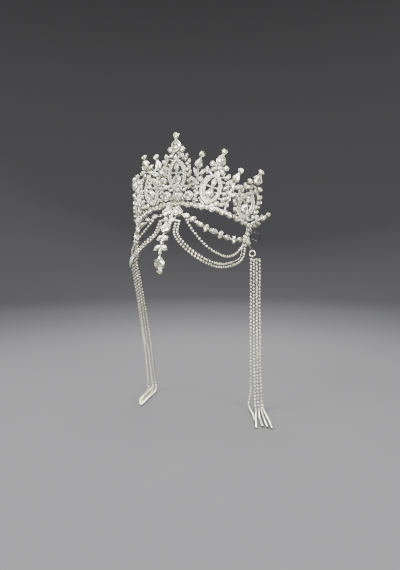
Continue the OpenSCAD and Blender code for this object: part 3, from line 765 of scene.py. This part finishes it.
def tiny_cup(d):
    r = d / 2
    rows = [(r + 0.12, 0), (r + 0.16, 0.3), (r + 0.02, 0.4), (r - 0.06, 0.3)]
    points = [np.concatenate([ring_points(reach, cup_corners, z) for reach, z in rows])]
    faces = ringed(len(rows), cup_corners)
    for k, (out, side) in enumerate(claw_ways()):
        start = len(rows) * cup_corners + 5 * k
        foot = out * (r + 0.14)
        points.append(np.array([
            foot + side * 0.17 + [0, 0, 0.28],
            foot - side * 0.17 + [0, 0, 0.28],
            out * (r + 0.16) + [0, 0, 0.5],
            out * (r - 0.04) + side * 0.12 + [0, 0, 0.56],
            out * (r - 0.3) + [0, 0, 0.5]]))
        faces += [
            (start, start + 1, start + 2),
            (start + 2, start + 1, start + 4),
            (start, start + 2, start + 3),
            (start + 2, start + 4, start + 3),
            (start, start + 3, start + 4)]
    # painted shade: the lowest band of each cup is painted grey
    return np.concatenate(points), faces, [0.6] * cup_corners + [0.0] * (len(faces) - cup_corners)


class Paving:
    """Tiny stones and their cups on one side of the crown."""

    def __init__(self, mirrored=False):
        self.work = Casting()
        self.mirrored = mirrored
        self.flip = mirror if mirrored else 1

    def put(self, panel, x, y, d, z=plate_face, leaning=True):
        spot = panel.spot(x, y, z, leaning)
        if not is_free(spot * self.flip, d / 2):
            return
        cup = tiny_cup(d)
        glass = crown_facets(d / 2, 0.3, 0.3 + 0.34 * d, 12)
        turn = facet_chance.uniform(0, math.pi)
        east = panel.along * math.cos(turn) + panel.up * math.sin(turn)
        north = panel.up * math.cos(turn) - panel.along * math.sin(turn)
        for finish, (points, faces, painted_shading_per_face) in ((METAL, cup), (GLASS, glass)):
            placed = spot + points[:, :1] * east + points[:, 1:2] * north + points[:, 2:] * panel.front
            faces = facing_out(faces, (finish == GLASS) != self.mirrored)
            self.work.add(placed * self.flip, faces, painted_shading_per_face, finish)

    def row(self, panel, points, d, pitch, z=plate_face, closed=False, leaning=True):
        for x, y in evenly(points, pitch, closed):
            self.put(panel, x, y, d, z, leaning)

    def add_wire(self, path, closed=True):
        points, faces = sweep_wire(path * self.flip, edge_wire, closed, corners=6)
        self.work.add(points, faces)


def sweep_wire(path, wire, closed=False, corners=8):
    """Points and faces of a round wire along a path."""
    path = np.asarray(path, float)
    count = len(path)
    along = units(np.roll(path, -1, 0) - np.roll(path, 1, 0) if closed else np.gradient(path, axis=0))
    side = np.cross(along[0], [0.31, 0.52, 0.79])
    points = []
    for k in range(count):
        side = unit(side - (side @ along[k]) * along[k])
        other = np.cross(along[k], side)
        turn = np.arange(corners) / corners * 2 * math.pi
        points.append(path[k] + wire / 2 * (np.cos(turn)[:, None] * side + np.sin(turn)[:, None] * other))
    faces = ringed(count, corners, closed)
    if not closed:
        faces += [tuple(range(corners)), last_cap(count, corners)]
    return np.concatenate(points), facing_out(faces, True)


def circle_of(middle, radius):
    turns = np.linspace(0, 2 * math.pi, 32, endpoint=False)
    return [(middle[0] + radius * math.sin(turn), middle[1] + radius * math.cos(turn)) for turn in turns]


def wire_path(panel, curve):
    return np.array([panel.spot(x, y, plate_face + wire_lift) for x, y in curve[::4]])


def pave_arch(paving, panel, heart_y):
    """Paves an arch and what stands in it, and returns the paths of the wires that edge it."""
    middle = heart_y + 4
    for arch, inset in ((outer_arch, 1.08), (inner_arch, -1.08)):
        paving.row(panel, arch_curve(*arch, inset, middle), 1.5, 1.82, closed=True)
    paving.row(panel, [(-6, heart_y + 6), (6, heart_y + 6)], 0.95, 1.25)
    for y, reach in ((-9, 2.2), (20.6, 1.9)):
        paving.put(panel, 0, heart_y + y, 2.0)
        paving.row(panel, circle_of((0, heart_y + y), reach), 1.3, 1.9, closed=True)
    paving.row(panel, [(-7, heart_y + 29.2), (0, heart_y + 27.4), (7, heart_y + 29.2)], 1.3, 1.7)
    return [wire_path(panel, arch_curve(*arch, inset, middle))
            for arch, inset in ((outer_arch, 0.22), (inner_arch, -0.2))]


def pave_foot(paving, panel):
    for reach in (-1, 1):
        paving.row(panel, [(reach * 3, 1), (reach * 9.3, 6.4)], 1.5, 1.85)


def finish_paving(paving, edge_wires, name):
    for wire in edge_wires:
        paving.add_wire(wire)
    paving.work.make(name, [silver, crystal], "crown", "silver", smooth_to=50)


centre = panels["centre"]
centre_paving = Paving()
centre_wires = pave_arch(centre_paving, centre, heart_height["centre"])
for reach in (-1, 1):
    centre_paving.row(centre, circle_of((reach * 7, 15.8), 2.45), 1.3, 1.6, closed=True)
    centre_paving.row(centre, [(reach * 6.6, 4.6), (reach * 12, 5)], 1.3, 1.7)
    centre_paving.row(centre, [(reach * 2.6, 13.6), (reach * 8, 1.6)], 1.2, 1.55)
centre_paving.row(centre, [(0, 12), (0, 8.4)], 1.3, 1.7)
centre_paving.row(centre, [(0, 4.6), (0, 2.6)], 1.3, 1.7)
finish_paving(centre_paving, centre_wires, "Paving_Centre")
for side in sides:
    paving = Paving(side == "left")
    wires = []
    for name in ("large", "side"):
        wires += pave_arch(paving, panels[name], heart_height[name])
        pave_foot(paving, panels[name])
    large = panels["large"]
    skirt = arch_curve(*skirt_arch, 0.95, heart_height["large"] + 4)
    paving.row(large, skirt[skirt[:, 0] < -3.2] - [arch_skirt, 0], 1.5, 1.82)
    paving.put(large, -9, 6.1, 2.0)
    edge = arch_curve(*skirt_arch, 0.22, heart_height["large"] + 4)
    paving.add_wire(wire_path(large, edge[edge[:, 0] < -3.4] - [arch_skirt, 0]), closed=False)
    paving.row(large, [(9.3, 6.4), (15.5, 8)], 1.3, 1.7)
    paving.row(panels["side"], [(9.3, 6.4), (15, 9)], 1.3, 1.7)
    for name in ("inner", "outer"):
        h = panels[name].height
        paving.row(panels[name], [(0, 2), (-1.2, h - 24), (-1.3, h - 8)], 1.15, 1.5)
        paving.row(panels[name], [(-1.3, h - 5), (0, h - 1)], 1.15, 1.5)
    inner = panels["inner"]
    paving.row(inner, circle_of((-3.5, 18.4), 2), 1.3, 1.75, closed=True)
    paving.row(inner, [(-3.5, 21.2), (-4, 23.4)], 1.2, 1.5)
    for y in (5.2, 12.4, 19.2):
        paving.row(inner, [(2, y), (4.2, y + 0.2)], 1.2, 1.5)
    paving.row(panels["end"], [(0, 2), (0.4, 36)], 1.2, 1.6)
    paving.row(panels["end"], [(0, -2), (1, -22)], 1.3, 1.7, leaning=False)
    paving.row(panels["end"], [(2, -17), (6, -17)], 1.2, 1.6, leaning=False)
    paving.row(panels["end"], [(2, -2), (6.6, -3.9)], 1.2, 1.6, leaning=False)
    finish_paving(paving, wires, f"Paving_{side.title()}")

brow = Panel(0, 0, 0, 0)
brow_lean = math.radians(46)
brow.foot = np.array([0, -103.5, -19.6])
brow.along = np.array([1.0, 0, 0])
brow.up = np.array([0, math.sin(brow_lean), math.cos(brow_lean)])
brow.front = np.cross(brow.along, brow.up)
brow_paving = Paving()
brow_face = 0.6
brow_bars = [
    ((1.6, 2.6), (10.2, -0.4), 1.2),
    ((8, 13), (12.4, 8.8), 1.2),
    ((1.2, 20.6), (3.6, 20.6), 1.2),
    ((0, 19.4), (0, 8), 1.5)]
for reach in (-1, 1):
    for start, end, d in brow_bars:
        ends = [(reach * start[0], start[1]), (reach * end[0], end[1])]
        brow_paving.row(brow, ends, d, d + 0.35, brow_face)
brow_paving.work.make("Paving_Brow", [silver, crystal], "crown", "silver", smooth_to=50)

# Draped cup chains
# Machine-made chain: pressed cups a little under 3 mm across, each holding a round stone
# under four claws, with a short tab between them. It drapes flat against the brow.
link_corners = 12
link_kinds = 6


def chain_link():
    """One cup with its claws, x along the chain and z out."""
    rows = [(0.66, -1.1), (1.04, -0.8), (1.19, -0.2), (1.24, 0.32), (1.14, 0.42), (1.08, 0.3)]
    points = [np.concatenate([ring_points(reach, link_corners, z) for reach, z in rows])]
    faces = ringed(len(rows), link_corners)
    faces.append(tuple(range(link_corners)))
    count = len(rows) * link_corners
    stations = [(1.26, -0.1, 0.2), (1.3, 0.42, 0.2), (1.06, 0.72, 0.16), (0.8, 0.8, 0.08)]
    for out, side in claw_ways():
        for reach, height, wide in stations:
            points.append(np.array([
                out * reach + side * wide + [0, 0, height],
                out * reach - side * wide + [0, 0, height],
                out * (reach - 0.12) - side * wide + [0, 0, height - 0.14],
                out * (reach - 0.12) + side * wide + [0, 0, height - 0.14]]))
        faces += bar_faces(len(stations), count)
        count += 4 * len(stations)
    # painted shade: the cup's walls and rim are painted dark grey, and its base and claws lighter grey
    painted_shading_per_face = [0.3] * link_corners + [1.1] * 2 * link_corners + [0.95] * 2 * link_corners
    return np.concatenate(points), faces, painted_shading_per_face + [0.4] * (len(faces) - len(painted_shading_per_face))


link_points, link_faces, link_painted_shading = chain_link()
link_glass = [crown_facets(1.12, 0.32, 1.12, link_corners) for _ in range(link_kinds)]


def smooth_route(route, steps=12):
    route = np.asarray(route, float)
    last = len(route) - 1
    curve = []
    for i in range(last):
        a, b, c, d = route[max(i - 1, 0)], route[i], route[i + 1], route[min(i + 2, last)]
        for u in np.arange(steps) / steps:
            curve.append(0.5 * (2 * b + u * (c - a) + u**2 * (2 * a - 5 * b + 4 * c - d)
                                + u**3 * (3 * b - a - 3 * c + d)))
    curve.append(route[last])
    return np.array(curve)


tab_corners = ((-0.45, -0.85), (0.45, -0.85), (0.45, -0.55), (-0.45, -0.55))
tab_start = 1.0


def lay_chain(work, route, pitch, outward, mirrored, swing=0.0, lead=0.5):
    spots = evenly(smooth_route(route), pitch, False, lead)
    phase = facet_chance.uniform(0, 6.3)
    for k, spot in enumerate(spots):
        along = unit(spots[min(k + 1, len(spots) - 1)] - spots[max(k - 1, 0)])
        out = outward(spot)
        out = unit(out - (out @ along) * along)
        across = np.cross(out, along)
        tilt = swing * math.sin(phase + 0.21 * k) + facet_chance.uniform(-0.1, 0.1)
        out = out * math.cos(tilt) + across * math.sin(tilt)
        across = np.cross(out, along)
        glass, glass_faces, _ = link_glass[k % link_kinds]
        # painted facet light of the stone, raised a little at random for each link
        painted_shading_per_face = (np.array(link_glass[(k * 5 + 1) % link_kinds][2]) + facet_chance.uniform(0.2, 0.5)).tolist()
        parts = [(link_points, link_faces, link_painted_shading, METAL), (glass, glass_faces, painted_shading_per_face, GLASS)]
        if k < len(spots) - 1:
            tab = np.array([[tab_start, y, z] for y, z in tab_corners])
            far = tab + [np.linalg.norm(spots[k + 1] - spot) - 2 * tab_start, 0, 0]
            faces = [(i, (i + 1) % 4, 4 + (i + 1) % 4, 4 + i) for i in range(4)]
            # painted shade: the tab between two cups is painted dark
            parts.append((np.concatenate([tab, far]), faces, [1.3] * 4, METAL))
        for points, faces, shade, finish in parts:
            placed = spot + points[:, :1] * along + points[:, 1:2] * across + points[:, 2:] * out
            if mirrored:
                placed = placed * mirror
            work.add(placed, facing_out(faces, (finish == GLASS) != mirrored), shade, finish)


brow_half_width = 73
brow_bulge = 129
brow_level = 62
brow_hollow = 48


def brow_normal(p):
    """The way out of the brow's rounded form at a point of it."""
    f = brow_bulge - brow_hollow * ((p[2] + brow_level) / brow_level) ** 2
    s = -2 * brow_hollow * (p[2] + brow_level) / brow_level**2
    return unit(np.array([p[0] / brow_half_width**2, p[1] / f**2, -s * p[1] ** 2 / f**3]))


upper_drape = [
    (17.7, -102.6, -17.6), (20.2, -104.6, -22), (25, -106, -28.6), (33.2, -107.2, -38), (40.4, -102.8, -46),
    (46.8, -91.8, -52), (52.9, -79, -55), (58.1, -67.4, -52.4), (61.8, -59, -46.6), (62.7, -51.2, -41.9)]
lower_drape = [
    (9.4, -104.7, -21.5), (9.4, -109.6, -28), (11.6, -114, -34), (18.8, -118, -41.6),
    (28.4, -117.6, -50.2), (36.9, -112, -57), (43.9, -101.8, -61.8), (50.4, -88.8, -63.9),
    (57.2, -75.4, -62.4), (62.2, -64.2, -58.4)]
lower_drape_end = [(64.6, -56, -53.4), (63.7, -50, -45.3)]
middle_wire_end = (62.3, -50.6, -43.6)
strand_gap = 3.05
drape_pitch = 3.45
drape_wire = 0.8


def beside(route, gap):
    route = np.asarray(route, float)
    last = len(route) - 1
    moved = []
    for i in range(last + 1):
        v = route[min(i + 1, last)] - route[max(i - 1, 0)]
        moved.append(route[i] + gap * unit(np.cross(brow_normal(route[i]), v)))
    return np.array(moved)


def make_drape(place, side, route, wire=None):
    work = Casting()
    lay_chain(work, route, drape_pitch, brow_normal, side == "left")
    if wire is not None:
        work.add(*sweep_wire(smooth_route(wire) * (mirror if side == "left" else 1), drape_wire))
    name = f"Drape_{place.title()}_{side.title()}"
    work.make(name, [silver, crystal], "crown", "cup_chain", [f"drape_{place}_{side}"], 50)


middle = beside(lower_drape, strand_gap / 2)
tail = np.array([0.3 * middle[-3] + 0.7 * middle[-2], middle[-1], middle_wire_end])
lower = np.concatenate([beside(lower_drape, -strand_gap / 2), lower_drape_end])
for side in sides:
    make_drape("upper", side, upper_drape)
    make_drape("middle", side, middle[:-1], tail)
    make_drape("lower", side, lower)

# Tassels of cup chain with their clasps, rings and tie loops
# Five strands of the same chain hang from a flat box clasp, the front four soldered on its
# face so that their cups hide it. The clasp hangs from the end of the band by a wire ring, the
# strands' lower ends lie on the table, and a dark wire loop ties each side.
upright = np.array([0, 0, 1.0])
curtain = np.array([0.9455, 0.3256, 0])
curtain_front = np.array([0.3256, -0.9455, 0])
tassel_top = np.array([72.3, -36, -58])
link_ring = np.array([69.6, -37, -51.6])
lying = -223.6
raised = lying + 2.6


def hung(*places, knee=-219, rest=lying):
    """A strand's route, given by its places from above: it hangs, bends at the knee and lies at rest."""
    return [(x, y, z) for (x, y), z in zip(places, (-59, -110, -160, -205, knee, rest, rest, rest))]


strands_right = [
    [(67.9, -37.4, -59), (68.4, -37.4, -110), (68.6, -37.4, -160), (68.6, -36.6, -200), (66.2, -34, -214),
     (66.4, -35.6, -221), (70.2, -42, lying), (75, -53, lying), (80.8, -72, lying)],
    hung((70.9, -36.5), (71.3, -36.4), (72, -36.2), (73.2, -35.8), (74, -36.4), (76, -42), (80, -62),
         (86.6, -90)),
    hung((73.9, -35.4), (74.3, -35.3), (75.1, -35.1), (76.3, -34.8), (77, -35.4), (79, -41), (84.2, -62),
         (92.4, -86)),
    hung((76.9, -34.4), (77.4, -34.2), (78.4, -34), (79.8, -33.6), (81.4, -34.6), (85.4, -42), (93, -62),
         (101.4, -86)),
    hung((73.3, -32.2), (73.6, -32), (75.2, -31.2), (77.2, -30.4), (79, -30.2), (82.2, -41), (88.4, -61),
         (97, -86))]
strands_left = [
    hung((-67.9, -37.4), (-66.6, -23), (-65.4, -9.5), (-64, -0.8), (-61.8, -2), (-59.4, -10),
         (-56.4, -36), (-52, -65)),
    hung((-70.9, -36.5), (-69.5, -23.6), (-68.2, -11.6), (-66.7, -4.4), (-64.7, -4.8), (-62.4, -12),
         (-59.5, -36), (-55.4, -61)),
    hung((-73.9, -35.4), (-72.3, -24.6), (-70.8, -14.2), (-69.2, -8), (-67.6, -7.8), (-65.4, -14),
         (-62.6, -34), (-58.8, -55)),
    hung((-76.9, -34.4), (-75.2, -22.6), (-73.4, -12), (-71, -5.6), (-70.2, -5.6), (-68.5, -14),
         (-65.8, -31), (-62.4, -46)),
    hung((-73.3, -32.2), (-71.5, -20.6), (-70.1, -8.4), (-67.6, -0.8), (-66, -0.6), (-64, -11.6),
         (-61.1, -33), (-57.4, -52), knee=-217, rest=raised)]


def round_ring(middle, axis, d, wire, flip=1):
    axis = unit(np.asarray(axis, float))
    east = unit(np.cross(axis, [0.2, 0.3, 0.93]))
    north = np.cross(axis, east)
    turn = np.arange(40) / 40 * 2 * math.pi
    path = middle + d / 2 * (np.cos(turn)[:, None] * east + np.sin(turn)[:, None] * north)
    return sweep_wire(path * flip, wire, closed=True)


def soft_box(low, high, edge):
    work = bmesh.new()
    bmesh.ops.create_cube(work, size=1.0)
    for corner in work.verts:
        corner.co = Vector(low + (np.array(corner.co) + 0.5) * np.subtract(high, low))
    bmesh.ops.bevel(work, geom=work.edges[:], offset=edge, segments=3, profile=0.5, affect="EDGES")
    work.verts.index_update()
    points = np.array([corner.co for corner in work.verts])
    faces = [tuple(corner.index for corner in face.verts) for face in work.faces]
    work.free()
    placed = tassel_top + points[:, :1] * curtain + points[:, 1:2] * np.cross(upright, curtain)
    return placed + points[:, 2:] * upright, faces


def hang_forward(spot):
    """The way the stones face: forward while the strand hangs, up where it lies."""
    lift = min(max((-204 - spot[2]) / 16, 0), 1)
    ahead = curtain_front * (mirror if spot[0] < 0 else 1)
    return unit(ahead * (1 - lift) + upright * lift)


front_strands = 4
on_clasp = ((0.04, 2.2), (0.15, 1.8), (0.4, 1.0))
tassel_pitch = 3.75
clasp_boxes = (((-6, -1.1, -2.4), (6, 1.1, 0.8), 0.45), ((-1, 0, -2.4), (3, 4.6, 0.2), 0.4))
ring_size = 6.2
loop_size = 3.4
tie_size = 12.6
thin_wire = 0.7
end_panel = panels["end"]
dark_grain = 1800.0
dark_wire = polished_silver("Dark_Wire", (0.085, 0.085, 0.09, 1), (0.03, 0.03, 0.03, 1), dark_grain)
for side in sides:
    mirrored = side == "left"
    flip = mirror if mirrored else 1
    work = Casting()
    for place, route in enumerate(strands_left if mirrored else strands_right):
        if place < front_strands:
            top = np.array(route[0])
            fall = route[1] - top
            ahead = curtain_front * flip
            start = [top + part * fall + push * ahead for part, push in on_clasp]
            route = [top + 2.3 * ahead + 2 * upright] + start + route[1:]
        lay_chain(work, route, tassel_pitch, hang_forward, False, swing=0.25, lead=0.25 + 0.5 * (place % 2))
    for box in clasp_boxes:
        clasp, clasp_faces = soft_box(*box)
        # painted shade: the clasp is painted dark, so that it sinks into the shade behind the cups
        work.add(clasp * flip, facing_out(clasp_faces, mirrored), [1.2] * len(clasp_faces))
    loop = link_ring - (ring_size / 2 + loop_size / 2 - 1.1) * upright
    work.add(*round_ring(loop, curtain, loop_size, thin_wire, flip))
    stem = np.array([loop - loop_size / 2 * upright, [link_ring[0], link_ring[1], tassel_top[2]]])
    work.add(*sweep_wire(np.linspace(stem[0], stem[1], 4) * flip, 1.0))
    work.make(f"Tassel_{side.title()}", [silver, crystal], "crown", "cup_chain", [f"tassel_{side}"], 50)
    work = Casting()
    work.add(*round_ring(link_ring, curtain_front, ring_size, 0.9, flip))
    shackle = np.linspace(link_ring + ring_size / 2 * upright, end_panel.spot(7.4, -20, 0, False), 6)
    work.add(*sweep_wire(shackle * flip, 0.8))
    work.add(*round_ring(end_panel.spot(7.4, -18.5, 0, False), end_panel.along, 3, thin_wire, flip))
    work.make(f"Tassel_Link_{side.title()}", [silver], "crown", "silver", [f"tassel_link_{side}"], 60)
    work = Casting()
    turn = math.radians(-26)
    reach = tie_size / 2
    middle = end_panel.spot(8 + reach * math.cos(turn), -4.4 + reach * math.sin(turn), 0, False)
    axis = -math.sin(turn) * end_panel.along + math.cos(turn) * end_panel.up
    work.add(*round_ring(middle, axis, tie_size, thin_wire, flip))
    work.make(f"Tie_Loop_{side.title()}", [dark_wire], "crown", "wire", [f"tie_loop_{side}"], 60)

# Floor and light
# A pale sweep under the crown and large soft lamps round it. The sweep's colour is painted
# darker further off and higher up, a painted fall-off of the light, so that the white stones stand out.
studio_floor = -225.3
floor_reach, wall_bend, wall_top = 1000, 600, 2200
profile = [(0.5, 0.0), (700, 0.0), (floor_reach, 20)]
for step in range(1, 9):
    bend = step / 8 * math.pi / 2
    profile.append((floor_reach + wall_bend * math.sin(bend), 20 + wall_bend * (1 - math.cos(bend))))
profile.append((floor_reach + wall_bend + 20, wall_top))
sweep_corners = 72
sweep_turns = [2 * math.pi * k / sweep_corners for k in range(sweep_corners)]
sweep_points = [
    (r * math.cos(a), r * math.sin(a), studio_floor + z) for r, z in profile for a in sweep_turns]
sweep_faces = facing_out(ringed(len(profile), sweep_corners), True)
sweep_faces.append(tuple(range(sweep_corners)))
floor_mesh = bpy.data.meshes.new("Studio_Sweep")
floor_mesh.from_pydata([tuple(c / METRE for c in p) for p in sweep_points], [], sweep_faces)
sharp_smooth(floor_mesh, 60)
floor_piece = add_object("Studio_Sweep", floor_mesh)
floor_material, floor_start = open_material("Pale_Sweep")
floor_place = floor_start.node("ShaderNodeTexCoord", output=3)
away = floor_start.node("ShaderNodeVectorMath", {"operation": "LENGTH"}, {0: floor_place}, output=1)
floor_greys = [
    (0.0, (0.105, 0.105, 0.109, 1)),
    (0.55, (0.068, 0.068, 0.071, 1)),
    (1.0, (0.045, 0.045, 0.047, 1))]
# painted fall-off of light: the sweep's colour darkens with distance from the crown
floor_painted_falloff = floor_start.node("ShaderNodeValToRGB", {"stops": floor_greys}, {"Fac": (away - 0.42) * 1.5})
floor_shader = floor_start.node(
    "ShaderNodeBsdfPrincipled",
    None,
    {"Base Color": floor_painted_falloff, "Roughness": 0.8, "Specular IOR Level": 0.2})
close_material(floor_start, floor_shader)
floor_mesh.materials.append(floor_material)
crown_middle = (0, -0.05, -0.03)
for name, place, aim, size, power in (
        ("Lamp_Front_Left", (-0.75, -0.95, 0.75), crown_middle, (0.9, 0.7), 42),
        ("Lamp_Front_Right", (1.0, -0.75, 0.45), crown_middle, (0.6, 0.8), 28),
        ("Lamp_Low", (0.4, -1.1, 0.0), (0.05, -0.04, -0.14), (0.5, 0.4), 9),
        ("Lamp_Above", (0.0, -0.1, 1.15), (0, -0.05, 0), (0.8, 0.8), 26),
        ("Lamp_Back", (-0.2, 1.0, 0.7), (0, -0.05, 0), (0.9, 0.5), 22)):
    lamp_data = bpy.data.lights.new(name, "AREA")
    lamp_data.shape = "RECTANGLE"
    lamp_data.size, lamp_data.size_y = size
    lamp_data.energy = power
    lamp = add_object(name, lamp_data)
    lamp.location = place
    lamp.rotation_euler = (Vector(aim) - Vector(place)).to_track_quat("-Z", "Y").to_euler()
world = bpy.data.worlds.new("Studio")
world.use_nodes = True
sky = world.node_tree.nodes["Background"].inputs
sky["Color"].default_value = (0.5, 0.5, 0.51, 1)
sky["Strength"].default_value = 0.6
bpy.context.scene.world = world
